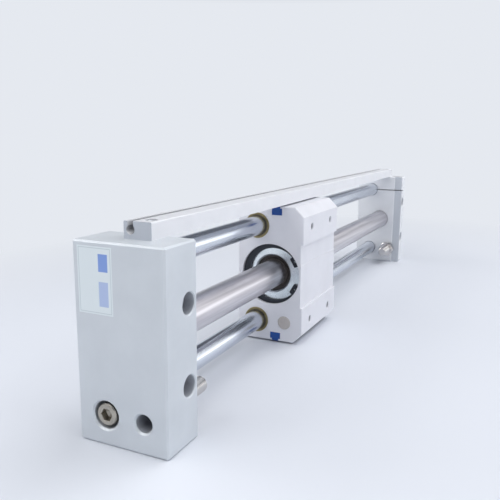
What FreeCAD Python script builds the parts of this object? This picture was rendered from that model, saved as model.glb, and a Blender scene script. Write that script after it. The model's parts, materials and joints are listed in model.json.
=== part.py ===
import FreeCAD, Part
import os
from types import SimpleNamespace

import Sketcher

# A magnetic rodless cylinder with two guide rods, standing on one narrow side, in millimetres.
# +X runs along the stroke from the port plate to the clamp plate, -Y is the side that carries
# the load, +Z is up, and the origin is the middle of the underside.

SIZES = {
    # End plates
    "plate_width": 45.0,
    "plate_height": 88.0,
    "port_plate_thickness": 24.0,
    "clamp_plate_thickness": 13.0,
    "plate_edge_break": 0.8,
    "mount_hole_diameter": 5.5,
    "mount_head_diameter": 9.5,
    "mount_head_depth": 5.5,
    "mount_hole_inset": 6.6,
    "mount_hole_spacing": 36.0,
    "hole_edge_break": 0.5,
    "bore_edge_break": 0.8,
    "seat_edge_break": 0.5,
    "port_diameter": 4.2,
    "port_depth": 7.0,
    "port_inset": 7.0,
    "air_chamber_diameter": 12.0,
    "air_passage_diameter": 3.0,
    "relief_width": 7.8,
    "relief_depth": 0.8,
    "slit_width": 1.0,
    "seat_clearance": 0.02,
    # Guide rods and the screws that hold them
    "rod_diameter": 12.0,
    "rod_base_inset": 14.0,
    "rod_edge": 13.5,
    "rod_end_break": 0.8,
    "rod_port_seat": 11.0,
    "rod_clamp_seat": 9.0,
    "rod_screwed_seat": 5.5,
    "rod_thread_depth": 18.0,
    "rod_screw_diameter": 6.0,
    "rod_screw_engagement": 14.0,
    "rod_screw_head_diameter": 10.0,
    "rod_screw_head_height": 6.0,
    "low_head_height": 4.0,
    "rod_screw_socket": 5.0,
    "rod_screw_bore": 12.5,
    "rod_screw_sink": 0.4,
    "low_head_sink": 0.5,
    "screw_clearance": 0.3,
    "thread_clearance": 0.05,
    "clamp_screw_diameter": 4.0,
    "clamp_screw_setback": 7.5,
    "clamp_screw_length": 16.0,
    "clamp_screw_head_diameter": 7.0,
    "clamp_screw_head_height": 4.0,
    "clamp_screw_socket": 3.0,
    "clamp_screw_sink": 0.5,
    # Cylinder tube and its end seals
    "tube_outer_diameter": 17.0,
    "tube_wall": 0.5,
    "tube_port_seat": 10.0,
    "tube_clamp_seat": 6.0,
    "tube_seal_cord": 1.8,
    "tube_seal_inset": 1.5,
    "tube_seal_play": 0.3,
    # Stop screws
    "stop_diameter": 8.0,
    "stop_setback": 12.0,
    "stop_reach": 23.0,
    "stop_length": 35.0,
    "stop_socket": 4.0,
    "stop_socket_depth": 5.0,
    "stop_end_break": 0.8,
    "stop_clearance": 0.05,
    "lock_nut_width": 13.0,
    "lock_nut_height": 6.5,
    # Switch rail
    "rail_setback": 13.0,
    "rail_width": 13.6,
    "rail_height": 7.5,
    "rail_edge_break": 0.4,
    "rail_port_inset": 10.6,
    "rail_clamp_inset": 5.0,
    "rail_web": 8.9,
    "sensor_mouth": 2.8,
    "sensor_bore": 4.2,
    "sensor_depth": 3.6,
    "rail_screw_diameter": 3.0,
    "rail_screw_grip": 8.0,
    "rail_screw_head_diameter": 5.5,
    "rail_screw_head_height": 3.0,
    "rail_screw_socket": 2.5,
    "rail_screw_sink": 0.4,
    # Slide block
    "stroke": 300.0,
    "rest_travel": 104.1,
    "block_length": 66.0,
    "block_clearance": 1.0,
    "base_clearance": 1.0,
    "block_edge_break": 0.5,
    "block_bore_break": 0.3,
    "corner_chamfer": 6.0,
    "load_wall": 0.5,
    "back_wall": 2.6,
    "band_height": 40.0,
    "band_depth": 1.5,
    "band_step_height": 13.0,
    "band_step_depth": 0.3,
    "load_hole_pitch": 36.0,
    "load_hole_edge": 13.0,
    "load_hole_diameter": 4.2,
    "load_hole_depth": 12.0,
    "bush_wall": 2.0,
    "bush_length": 20.0,
    "bush_proud": 0.5,
    "running_clearance": 0.03,
    "pad_diameter": 8.5,
    "pad_depth": 6.0,
    "pad_proud": 0.5,
    "pad_edge_break": 0.6,
    "key_setback": 18.0,
    "key_neck_width": 4.5,
    "key_neck_depth": 1.2,
    "key_width": 7.0,
    "key_depth": 5.5,
    "key_inset": 0.4,
    "switch_magnet_length": 12.0,
    "switch_magnet_width": 4.0,
    "switch_magnet_height": 2.5,
    # Outer magnet stack, held in the block
    "slider_gap": 0.5,
    "yoke_thickness": 5.0,
    "sleeve_wall": 2.5,
    "carrier_length": 6.4,
    "seal_seat_step": 0.4,
    "wear_ring_length": 4.0,
    "wiper_lip": 1.8,
    "wiper_lip_thickness": 0.7,
    "wiper_play": 0.1,
    "washer_thickness": 3.0,
    "washer_gap": 3.1,
    "washer_bore_break": 0.8,
    "ring_recess": 1.8,
    "ring_thickness": 1.5,
    "ring_play": 0.05,
    "ring_groove_depth": 0.5,
    "ring_back_width": 5.0,
    "ring_end_width": 1.2,
    "ring_gap_angle": 38.0,
    "ring_lug_angle": 22.0,
    "ring_lug_width": 3.6,
    "ring_lug_inset": 0.3,
    "ring_plier_hole": 1.6,
    # Piston and inner magnet stack, inside the tube
    "piston_gap": 0.3,
    "shaft_diameter": 5.0,
    "shaft_end_break": 0.5,
    "piston_land": 1.2,
    "piston_seal_width": 2.0,
    "piston_seal_depth": 2.0,
    "piston_ring_width": 3.0,
    "piston_ring_depth": 1.0,
    "piston_groove_play": 0.1,
    "shaft_nut_width": 8.0,
    "shaft_nut_height": 4.0,
    "bumper_diameter": 13.0,
    "bumper_length": 5.0,
    "bumper_clearance": 0.2,
}

MAGNET_COUNT = 3
YOKE_COUNT = MAGNET_COUNT + 1
HEAD_BREAK_SHARE = 0.1
SOCKET_SHARE = 0.6
NEAR = 1e-4
FULL_TURN = 360
TURN_OVER = 180
TURN_DOWN = 90

doc = FreeCAD.newDocument("magnetic_rodless_cylinder")
sheet = doc.addObject("Spreadsheet::Sheet", "sizes")
for row, (alias, number) in enumerate(SIZES.items(), start=1):
    sheet.set(f"A{row}", alias)
    sheet.set(f"B{row}", str(number))
    sheet.setAlias(f"B{row}", alias)
doc.recompute()

size = SimpleNamespace(**{alias: f"sizes.{alias}" for alias in SIZES})
parts = []

# Places across the stroke
load_face = f"(-{size.plate_width} / 2)"
base_face = f"({size.plate_width} / 2)"
mid_height = f"({size.plate_height} / 2)"
rod_y = f"({base_face} - {size.rod_base_inset})"
lower_rod_z = size.rod_edge
upper_rod_z = f"({size.plate_height} - {size.rod_edge})"
stop_y = f"({load_face} + {size.stop_setback})"
stop_z = lower_rod_z
rail_y = f"({load_face} + {size.rail_setback})"
rail_web_y = f"({rail_y} + {size.rail_web} / 2)"
key_y = f"({load_face} + {size.key_setback})"
clamp_screw_y = f"({load_face} + {size.clamp_screw_setback})"

# Rings round the tube, from the walls of the slide block inwards
tube_bore = f"({size.tube_outer_diameter} - 2 * {size.tube_wall})"
block_depth = f"({size.plate_width} - {size.base_clearance})"
ring_groove_diameter = f"({block_depth} - {size.band_depth} - {size.load_wall} - {size.back_wall})"
block_bore = f"({ring_groove_diameter} - 2 * {size.ring_groove_depth})"
sleeve_diameter = f"({block_bore} - 2 * {size.seat_clearance})"
sleeve_bore = f"({sleeve_diameter} - 2 * {size.sleeve_wall})"
stack_diameter = f"({sleeve_bore} - 2 * {size.seat_clearance})"
stack_bore = f"({size.tube_outer_diameter} + 2 * {size.slider_gap})"
tube_y = f"({load_face} + {size.band_depth} + {size.load_wall} + {ring_groove_diameter} / 2)"
bush_bore = f"({size.rod_diameter} + 2 * {size.running_clearance})"
bush_diameter = f"({bush_bore} + 2 * {size.bush_wall})"
bush_seat = f"({bush_diameter} + 2 * {size.seat_clearance})"

# Places along the stroke
inner_span = f"({size.stroke} + {size.block_length} + 2 * {size.pad_proud} + 2 * {size.stop_reach})"
half_length = f"(({size.port_plate_thickness} + {inner_span} + {size.clamp_plate_thickness}) / 2)"
port_face = f"(-{half_length})"
port_inner = f"({port_face} + {size.port_plate_thickness})"
clamp_inner = f"({half_length} - {size.clamp_plate_thickness})"
block_start = f"({port_inner} + {size.stop_reach} + {size.rest_travel} + {size.pad_proud})"
block_end = f"({block_start} + {size.block_length})"
block_middle = f"({block_start} + {size.block_length} / 2)"
ring_groove_width = f"({size.ring_thickness} + 2 * {size.ring_play})"
end_closure = f"({size.ring_recess} + {ring_groove_width} + {size.washer_thickness})"
sleeve_length = f"({size.block_length} - 2 * {end_closure})"
stack_length = f"({sleeve_length} - 2 * {size.carrier_length})"
magnet_room = f"({stack_length} - {YOKE_COUNT} * {size.yoke_thickness})"
magnet_thickness = f"({magnet_room} / {MAGNET_COUNT})"
stack_pitch = f"({size.yoke_thickness} + {magnet_thickness})"
stack_start = f"({block_middle} - {stack_length} / 2)"
stack_end = f"({block_middle} + {stack_length} / 2)"
sleeve_start = f"({block_middle} - {sleeve_length} / 2)"
sleeve_end = f"({block_middle} + {sleeve_length} / 2)"
piston_length = (
    f"(3 * {size.piston_land} + {size.piston_seal_width} + {size.piston_ring_width}"
    f" + 4 * {size.piston_groove_play})"
)
rail_start = f"({port_face} + {size.rail_port_inset})"
rail_length = f"(2 * {half_length} - {size.rail_port_inset} - {size.rail_clamp_inset})"
rail_port_screw_x = f"(({rail_start} + {port_inner}) / 2)"
rail_clamp_screw_x = f"(({clamp_inner} + {half_length} - {size.rail_clamp_inset}) / 2)"
rail_top = f"({size.plate_height} + {size.rail_height})"


# Modelling helpers

def value(expression):
    """The number that an expression of sheet sizes comes to."""
    return float(sheet.evalExpression(expression))


def place(item, x, y, z, turn=0):
    """Put a piece at x, y, z, turned by an angle about an axis along Y."""
    item.Placement = FreeCAD.Placement(FreeCAD.Vector(), FreeCAD.Rotation(FreeCAD.Vector(0, 1, 0), turn))
    item.setExpression("Placement.Base.x", x)
    item.setExpression("Placement.Base.y", y)
    item.setExpression("Placement.Base.z", z)


def start_body(label, x="0", y="0", z="0", turn=0):
    """A new named piece, which is written out at the end."""
    body = doc.addObject("PartDesign::Body", label)
    body.Label = label
    place(body, x, y, z, turn)
    parts.append(body)
    return body


def start_sketch(body, plane_role, offset="0"):
    """A sketch on one of the body's own planes, moved along the plane's normal."""
    sketch = body.newObject("Sketcher::SketchObject", body.Name + "_sketch")
    plane = next(item for item in body.Origin.OriginFeatures if item.Role == plane_role)
    sketch.AttachmentSupport = [(plane, "")]
    sketch.MapMode = "FlatFace"
    sketch.setExpression("AttachmentOffset.Base.z", offset)
    return sketch


def bind_point(sketch, geometry, point, u, v):
    """Hold one point of a sketch at u, v from the sketch's origin."""
    for kind, expression in (("DistanceX", u), ("DistanceY", v)):
        constraint = Sketcher.Constraint(kind, -1, 1, geometry, point, value(expression))
        index = sketch.addConstraint(constraint)
        sketch.setExpression(f"Constraints[{index}]", expression)


def add_polygon(sketch, corners):
    """A closed outline of straight lines through corners given as pairs of expressions."""
    points = [FreeCAD.Vector(value(u), value(v), 0) for u, v in corners]
    first = sketch.GeometryCount
    count = len(points)
    for index in range(count):
        sketch.addGeometry(Part.LineSegment(points[index], points[(index + 1) % count]))
    for index in range(count):
        following = first + (index + 1) % count
        sketch.addConstraint(Sketcher.Constraint("Coincident", first + index, 2, following, 1))
    for index, (u, v) in enumerate(corners):
        bind_point(sketch, first + index, 1, u, v)


def add_rectangle(sketch, u_low, u_high, v_low, v_high):
    add_polygon(sketch, [(u_low, v_low), (u_high, v_low), (u_high, v_high), (u_low, v_high)])


def add_hexagon(sketch, across_flats):
    corner = f"({across_flats} / sqrt(3))"
    half_side = f"({across_flats} / sqrt(3) / 2)"
    half_width = f"({across_flats} / 2)"
    add_polygon(sketch, [
        (corner, "0"), (half_side, half_width), (f"-{half_side}", half_width),
        (f"-{corner}", "0"), (f"-{half_side}", f"-{half_width}"), (half_side, f"-{half_width}"),
    ])


def add_circle(sketch, u, v, diameter):
    centre = FreeCAD.Vector(value(u), value(v), 0)
    geometry = sketch.addGeometry(Part.Circle(centre, FreeCAD.Vector(0, 0, 1), value(diameter) / 2))
    bind_point(sketch, geometry, 3, u, v)
    index = sketch.addConstraint(Sketcher.Constraint("Diameter", geometry, value(diameter)))
    sketch.setExpression(f"Constraints[{index}]", diameter)


def close_feature(body, feature):
    body.Tip = feature
    doc.recompute()
    return feature


def add_pad(body, sketch, length):
    pad = body.newObject("PartDesign::Pad", body.Name + "_pad")
    pad.Profile = sketch
    pad.setExpression("Length", length)
    return close_feature(body, pad)


def add_pocket(body, sketch, depth, along_normal=False):
    """Cut a sketch into the body, against the sketch's normal unless told otherwise."""
    before = body.Shape.Volume
    pocket = body.newObject("PartDesign::Pocket", body.Name + "_pocket")
    pocket.Profile = sketch
    pocket.setExpression("Length", depth)
    pocket.Reversed = along_normal
    close_feature(body, pocket)
    if body.Shape.Volume > before - NEAR:
        raise RuntimeError(f"a pocket of {body.Label} cuts nothing")
    return pocket


def drill(body, plane_role, offset, centres, diameter, depth, along_normal=False):
    """Round holes of one size and depth from a plane of the body."""
    sketch = start_sketch(body, plane_role, offset)
    for u, v in centres:
        add_circle(sketch, u, v, diameter)
    return add_pocket(body, sketch, depth, along_normal)


def add_chamfer(body, chosen, amount):
    """Break the edges of the body's last feature that the chosen test picks."""
    base = body.Tip
    names = [f"Edge{number}" for number, edge in enumerate(base.Shape.Edges, start=1) if chosen(edge)]
    if not names:
        raise RuntimeError(f"no edge of {body.Label} to break")
    chamfer = body.newObject("PartDesign::Chamfer", body.Name + "_chamfer")
    chamfer.Base = (base, names)
    chamfer.setExpression("Size", amount)
    return close_feature(body, chamfer)


def is_rim(edge, axis, position, diameter):
    """Whether an edge runs round a circle of this size, in a plane square to the axis."""
    circle = edge.Curve
    if not isinstance(circle, Part.Circle):
        return False
    same_size = abs(circle.Radius - value(diameter) / 2) < NEAR
    return same_size and abs(circle.Center[axis] - value(position)) < NEAR


def break_rims(body, axis, position, diameters, amount):
    """Break the edges of all holes of these sizes where they meet one face of the body."""
    add_chamfer(body, lambda edge: any(is_rim(edge, axis, position, wide) for wide in diameters), amount)


def is_level(edge, axis, position):
    """Whether an edge is straight and lies in a plane square to the axis."""
    if not isinstance(edge.Curve, Part.Line):
        return False
    return all(abs(vertex.Point[axis] - value(position)) < NEAR for vertex in edge.Vertexes)


def add_turning(label, x, y, z, profile, turn=0):
    """A turned piece: an outline of (distance, radius) corners spun about an axis along X."""
    body = start_body(label, x, y, z, turn)
    sketch = start_sketch(body, "XY_Plane")
    add_polygon(sketch, profile)
    turning = body.newObject("PartDesign::Revolution", label + "_turning")
    turning.Profile = sketch
    turning.ReferenceAxis = (sketch, ["H_Axis"])
    turning.Angle = FULL_TURN
    close_feature(body, turning)
    return body


def add_ring(label, x, y, z, length, bore, diameter, turn=0):
    inner = f"({bore} / 2)"
    outer = f"({diameter} / 2)"
    profile = [("0", inner), (length, inner), (length, outer), ("0", outer)]
    return add_turning(label, x, y, z, profile, turn)


def add_pin(label, x, y, z, length, diameter, end_break, turn=0):
    """A round bar with both ends broken."""
    radius = f"({diameter} / 2)"
    narrow = f"({radius} - {end_break})"
    profile = [
        ("0", "0"), ("0", narrow), (end_break, radius), (f"{length} - {end_break}", radius),
        (length, narrow), (length, "0"),
    ]
    return add_turning(label, x, y, z, profile, turn)


def cut_socket(body, across_flats, depth):
    """A hexagon socket in the end of a screw that lies at the body's origin."""
    sketch = start_sketch(body, "YZ_Plane")
    add_hexagon(sketch, across_flats)
    add_pocket(body, sketch, depth, along_normal=True)


def add_cap_screw(label, x, y, z, turn, screw):
    """A socket cap screw with the top of its head at x, y, z and its shank along local +X."""
    head_radius = f"({screw.head_diameter} / 2)"
    shank_radius = f"({screw.diameter} / 2)"
    tip = f"({screw.head_height} + {screw.length})"
    profile = [
        ("0", "0"), ("0", head_radius), (screw.head_height, head_radius),
        (screw.head_height, shank_radius), (tip, shank_radius), (tip, "0"),
    ]
    body = add_turning(label, x, y, z, profile, turn)
    head_break = f"({screw.diameter} * {HEAD_BREAK_SHARE})"
    break_rims(body, 0, "0", [screw.head_diameter], head_break)
    cut_socket(body, screw.socket, f"({screw.head_height} * {SOCKET_SHARE})")
    return body


def add_nut(label, x, y, z, height, across_flats, bore):
    """A hexagon nut with the sharp corners of both faces turned off."""
    body = start_body(label, x, y, z)
    sketch = start_sketch(body, "YZ_Plane")
    add_hexagon(sketch, across_flats)
    add_circle(sketch, "0", "0", bore)
    add_pad(body, sketch, height)
    flat = f"({across_flats} / 2)"
    corner = f"({across_flats} / sqrt(3))"
    rise = f"(({corner} - {flat}) / sqrt(3))"
    sketch = start_sketch(body, "XY_Plane")
    add_polygon(sketch, [("0", flat), ("0", corner), (rise, corner)])
    add_polygon(sketch, [(height, flat), (height, corner), (f"{height} - {rise}", corner)])
    groove = body.newObject("PartDesign::Groove", label + "_corners")
    groove.Profile = sketch
    groove.ReferenceAxis = (sketch, ["H_Axis"])
    groove.Angle = FULL_TURN
    close_feature(body, groove)
    return body


def add_retaining_ring(label, x, y, z, diameter, turn):
    """A spring ring that is widest opposite its gap, with a lug and a plier hole at each end."""
    body = start_body(label, x, y, z, turn)
    thickness = size.ring_thickness
    bore = f"({diameter} - {size.ring_back_width} - {size.ring_end_width})"
    shift = f"(({size.ring_back_width} - {size.ring_end_width}) / 2)"
    sketch = start_sketch(body, "YZ_Plane")
    add_circle(sketch, "0", "0", diameter)
    add_circle(sketch, f"-{shift}", "0", bore)
    add_pad(body, sketch, thickness)
    half_gap = f"({diameter} * tan({size.ring_gap_angle} / 2 * 1 deg))"
    sketch = start_sketch(body, "YZ_Plane")
    add_polygon(sketch, [("0", "0"), (f"-{diameter}", half_gap), (f"-{diameter}", f"-{half_gap}")])
    add_pocket(body, sketch, thickness, along_normal=True)
    outside = f"({diameter} / 2 - {size.ring_lug_inset})"
    inside = f"({diameter} / 2 - {size.ring_lug_width})"
    near_end = f"({size.ring_gap_angle} / 2)"
    far_end = f"({near_end} + {size.ring_lug_angle})"

    def at(radius, angle, side):
        return (f"-{radius} * cos({angle} * 1 deg)", f"{side} * {radius} * sin({angle} * 1 deg)")

    sketch = start_sketch(body, "YZ_Plane")
    for side in (-1, 1):
        add_polygon(sketch, [at(outside, near_end, side), at(outside, far_end, side),
                             at(inside, far_end, side), at(inside, near_end, side)])
    add_pad(body, sketch, thickness)
    middle = f"(({outside} + {inside}) / 2)"
    half_way = f"(({near_end} + {far_end}) / 2)"
    holes = [at(middle, half_way, side) for side in (-1, 1)]
    drill(body, "YZ_Plane", "0", holes, size.ring_plier_hole, thickness, along_normal=True)


def add_ring_stack(label, start, thickness, bore, diameter, count):
    """Equal rings in a row on the tube's axis, each a separate solid of one piece group."""
    rings = []
    for index in range(count):
        outer = doc.addObject("Part::Cylinder", label + "_outer")
        inner = doc.addObject("Part::Cylinder", label + "_inner")
        for cylinder, wide in ((outer, diameter), (inner, bore)):
            cylinder.setExpression("Radius", f"{wide} / 2")
            cylinder.setExpression("Height", thickness)
            place(cylinder, f"{start} + {index} * {stack_pitch}", tube_y, mid_height, TURN_DOWN)
        ring = doc.addObject("Part::Cut", label + "_ring")
        ring.Base = outer
        ring.Tool = inner
        rings.append(ring)
    group = doc.addObject("Part::Compound", label)
    group.Label = label
    group.Links = rings
    doc.recompute()
    parts.append(group)


# End plates

def start_plate(label, x, thickness):
    """A plain plate with its edges broken, from the body's origin along +X."""
    body = start_body(label, x)
    sketch = start_sketch(body, "YZ_Plane")
    add_rectangle(sketch, load_face, base_face, "0", size.plate_height)
    add_pad(body, sketch, thickness)
    add_chamfer(body, lambda edge: True, size.plate_edge_break)
    return body


def cut_mount_holes(body, x):
    """Counterbored through holes from the load side, which bolt the plate to a base."""
    centres = [
        (x, f"{mid_height} - {size.mount_hole_spacing} / 2"),
        (x, f"{mid_height} + {size.mount_hole_spacing} / 2"),
    ]
    offset = f"(-{load_face})"
    drill(body, "XZ_Plane", offset, centres, size.mount_hole_diameter, size.plate_width)
    drill(body, "XZ_Plane", offset, centres, size.mount_head_diameter, size.mount_head_depth)
    break_rims(body, 1, load_face, [size.mount_head_diameter], size.hole_edge_break)


def cut_tube_seat(body, face, depth, inwards):
    """The socket of the tube's end and the groove of its seal; inwards is +1 or -1 along X."""
    centre = [(tube_y, mid_height)]
    along = inwards > 0
    drill(body, "YZ_Plane", face, centre, tube_seat_bore, depth, along)
    groove = f"({tube_seat_bore} + 2 * {size.tube_seal_cord} + 2 * {size.seat_clearance})"
    width = f"({size.tube_seal_cord} + 2 * {size.tube_seal_play})"
    groove_face = f"({face} + {inwards} * {size.tube_seal_inset})"
    drill(body, "YZ_Plane", groove_face, centre, groove, width, along)


def cut_rail_screw_hole(body, x):
    hole = f"({size.rail_screw_diameter} + 2 * {size.thread_clearance})"
    drill(body, "XY_Plane", size.plate_height, [(x, rail_web_y)], hole, size.rail_screw_grip)


tube_seat_bore = f"({size.tube_outer_diameter} + 2 * {size.seat_clearance})"
rod_seat_bore = f"({size.rod_diameter} + 2 * {size.seat_clearance})"
rod_screw_hole = f"({size.rod_screw_diameter} + 2 * {size.screw_clearance})"
stop_hole = f"({size.stop_diameter} + 2 * {size.stop_clearance})"


def make_port_plate():
    inner = size.port_plate_thickness
    body = start_plate("port_end_plate", port_face, inner)
    cut_tube_seat(body, inner, size.tube_port_seat, -1)
    rods = [(rod_y, upper_rod_z), (rod_y, lower_rod_z)]
    drill(body, "YZ_Plane", inner, rods, rod_seat_bore, size.rod_port_seat)
    break_rims(body, 0, inner, (tube_seat_bore, rod_seat_bore), size.seat_edge_break)
    drill(body, "YZ_Plane", inner, [(stop_y, stop_z)], stop_hole, inner)
    screw = [(rod_y, lower_rod_z)]
    drill(body, "YZ_Plane", "0", screw, rod_screw_hole, inner, along_normal=True)
    sink = f"({size.rod_screw_head_height} + {size.rod_screw_sink})"
    drill(body, "YZ_Plane", "0", screw, size.rod_screw_bore, sink, along_normal=True)
    break_rims(body, 0, "0", (stop_hole, size.rod_screw_bore), size.bore_edge_break)
    # The air path: a chamber behind the tube's end, met by a drilling from the lower side
    chamber = f"({inner} - {size.port_inset} - {size.tube_port_seat} + {size.port_diameter} / 2)"
    chamber_face = f"({inner} - {size.tube_port_seat})"
    drill(body, "YZ_Plane", chamber_face, [(tube_y, mid_height)], size.air_chamber_diameter, chamber)
    port = [(size.port_inset, tube_y)]
    drill(body, "XY_Plane", "0", port, size.air_passage_diameter, mid_height, along_normal=True)
    drill(body, "XY_Plane", "0", port, size.port_diameter, size.port_depth, along_normal=True)
    break_rims(body, 2, "0", [size.port_diameter], size.hole_edge_break)
    cut_mount_holes(body, f"({inner} - {size.mount_hole_inset})")
    cut_rail_screw_hole(body, f"({rail_port_screw_x} - {port_face})")


def make_clamp_plate():
    outer = size.clamp_plate_thickness
    body = start_plate("clamp_end_plate", clamp_inner, outer)
    sketch = start_sketch(body, "YZ_Plane")
    add_rectangle(sketch, load_face, f"({load_face} + {size.relief_width})", "0", size.plate_height)
    add_pocket(body, sketch, size.relief_depth, along_normal=True)
    cut_tube_seat(body, "0", size.tube_clamp_seat, 1)
    clamped = [(rod_y, upper_rod_z)]
    drill(body, "YZ_Plane", "0", clamped, rod_seat_bore, size.rod_clamp_seat, along_normal=True)
    screw = [(rod_y, lower_rod_z)]
    drill(body, "YZ_Plane", "0", screw, rod_seat_bore, size.rod_screwed_seat, along_normal=True)
    break_rims(body, 0, "0", (tube_seat_bore, rod_seat_bore), size.seat_edge_break)
    drill(body, "YZ_Plane", outer, screw, rod_screw_hole, outer)
    sink = f"({size.low_head_height} + {size.low_head_sink})"
    drill(body, "YZ_Plane", outer, screw, size.rod_screw_bore, sink)
    drill(body, "YZ_Plane", outer, [(stop_y, stop_z)], stop_hole, outer)
    drill(body, "YZ_Plane", outer, [(tube_y, mid_height)], size.port_diameter, outer)
    break_rims(body, 0, outer, (stop_hole, size.rod_screw_bore), size.bore_edge_break)
    break_rims(body, 0, outer, [size.port_diameter], size.hole_edge_break)
    # The slit lets one screw close the plate on the upper rod
    sketch = start_sketch(body, "XZ_Plane", f"(-{load_face})")
    half_slit = f"({size.slit_width} / 2)"
    add_rectangle(sketch, "0", outer, f"{upper_rod_z} - {half_slit}", f"{upper_rod_z} + {half_slit}")
    add_pocket(body, sketch, f"({rod_y} - {load_face})")
    screw = [(f"({outer} / 2)", clamp_screw_y)]
    head_sink = f"({size.clamp_screw_head_height} + {size.clamp_screw_sink})"
    shank_hole = f"({size.clamp_screw_diameter} + 2 * {size.thread_clearance})"
    shank_depth = f"({head_sink} + {size.clamp_screw_length} + {size.clamp_screw_sink})"
    head_bore = f"({size.clamp_screw_head_diameter} + 2 * {size.screw_clearance})"
    drill(body, "XY_Plane", size.plate_height, screw, shank_hole, shank_depth)
    drill(body, "XY_Plane", size.plate_height, screw, head_bore, head_sink)
    cut_mount_holes(body, size.mount_hole_inset)
    cut_rail_screw_hole(body, f"({rail_clamp_screw_x} - {clamp_inner})")


# Tube, seals, guide rods and their screws

def make_tube():
    start = f"({port_inner} - {size.tube_port_seat})"
    length = f"({inner_span} + {size.tube_port_seat} + {size.tube_clamp_seat})"
    add_ring("cylinder_tube", start, tube_y, mid_height, length, tube_bore, size.tube_outer_diameter)
    middle = f"({size.tube_seal_inset} + {size.tube_seal_play} + {size.tube_seal_cord} / 2)"
    centres = {
        "port_tube_seal": f"({port_inner} - {middle})",
        "clamp_tube_seal": f"({clamp_inner} + {middle})",
    }
    for label, x in centres.items():
        seal = doc.addObject("Part::Torus", label)
        seal.Label = label
        cord_circle = f"({size.tube_outer_diameter} / 2 + {size.seat_clearance} + {size.tube_seal_cord} / 2)"
        seal.setExpression("Radius1", cord_circle)
        seal.setExpression("Radius2", f"{size.tube_seal_cord} / 2")
        place(seal, x, tube_y, mid_height, TURN_DOWN)
        parts.append(seal)


def make_rods():
    start = f"({port_inner} - {size.rod_port_seat})"
    upper = f"({inner_span} + {size.rod_port_seat} + {size.rod_clamp_seat})"
    lower = f"({inner_span} + {size.rod_port_seat} + {size.rod_screwed_seat})"
    add_pin("upper_guide_rod", start, rod_y, upper_rod_z, upper, size.rod_diameter, size.rod_end_break)
    body = add_pin("lower_guide_rod", start, rod_y, lower_rod_z, lower, size.rod_diameter, size.rod_end_break)
    thread = f"({size.rod_screw_diameter} + 2 * {size.thread_clearance})"
    drill(body, "YZ_Plane", "0", [("0", "0")], thread, size.rod_thread_depth, along_normal=True)
    drill(body, "YZ_Plane", lower, [("0", "0")], thread, size.rod_thread_depth)


def make_frame_screws():
    screw = SimpleNamespace(
        diameter=size.rod_screw_diameter, head_diameter=size.rod_screw_head_diameter,
        head_height=size.rod_screw_head_height, socket=size.rod_screw_socket,
        length=f"({size.port_plate_thickness} - {size.rod_port_seat} - {size.rod_screw_head_height}"
               f" - {size.rod_screw_sink} + {size.rod_screw_engagement})",
    )
    head = f"({port_face} + {size.rod_screw_sink})"
    add_cap_screw("port_rod_screw", head, rod_y, lower_rod_z, 0, screw)
    screw.head_height = size.low_head_height
    screw.length = (
        f"({size.clamp_plate_thickness} - {size.rod_screwed_seat} - {size.low_head_height}"
        f" - {size.low_head_sink} + {size.rod_screw_engagement})"
    )
    head = f"({half_length} - {size.low_head_sink})"
    add_cap_screw("clamp_rod_screw", head, rod_y, lower_rod_z, TURN_OVER, screw)
    screw = SimpleNamespace(
        diameter=size.clamp_screw_diameter, head_diameter=size.clamp_screw_head_diameter,
        head_height=size.clamp_screw_head_height, socket=size.clamp_screw_socket,
        length=size.clamp_screw_length,
    )
    middle = f"({clamp_inner} + {size.clamp_plate_thickness} / 2)"
    head = f"({size.plate_height} - {size.clamp_screw_sink})"
    add_cap_screw("rod_clamp_screw", middle, clamp_screw_y, head, TURN_DOWN, screw)
    sink = f"({size.rail_screw_head_height} + {size.rail_screw_sink})"
    screw = SimpleNamespace(
        diameter=size.rail_screw_diameter, head_diameter=size.rail_screw_head_diameter,
        head_height=size.rail_screw_head_height, socket=size.rail_screw_socket,
        length=f"({size.rail_height} - {sink} + {size.rail_screw_grip} - {size.rail_screw_sink})",
    )
    head = f"({rail_top} - {size.rail_screw_sink})"
    for label, x in (("port_rail_screw", rail_port_screw_x), ("clamp_rail_screw", rail_clamp_screw_x)):
        add_cap_screw(label, x, rail_web_y, head, TURN_DOWN, screw)


def make_stops():
    """Adjustable stop screws with their lock nuts, one in each plate."""
    reach = f"({size.stop_length} - {size.stop_reach})"
    ends = {
        "port": (f"({port_inner} - {reach})", 0, port_inner),
        "clamp": (f"({clamp_inner} + {reach})", TURN_OVER, f"({clamp_inner} - {size.lock_nut_height})"),
    }
    for end, (outer, turn, nut) in ends.items():
        label = end + "_stop_screw"
        body = add_pin(
            label, outer, stop_y, stop_z, size.stop_length, size.stop_diameter, size.stop_end_break, turn)
        cut_socket(body, size.stop_socket, size.stop_socket_depth)
        nut_label = end + "_lock_nut"
        add_nut(nut_label, nut, stop_y, stop_z, size.lock_nut_height, size.lock_nut_width, stop_hole)


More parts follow.
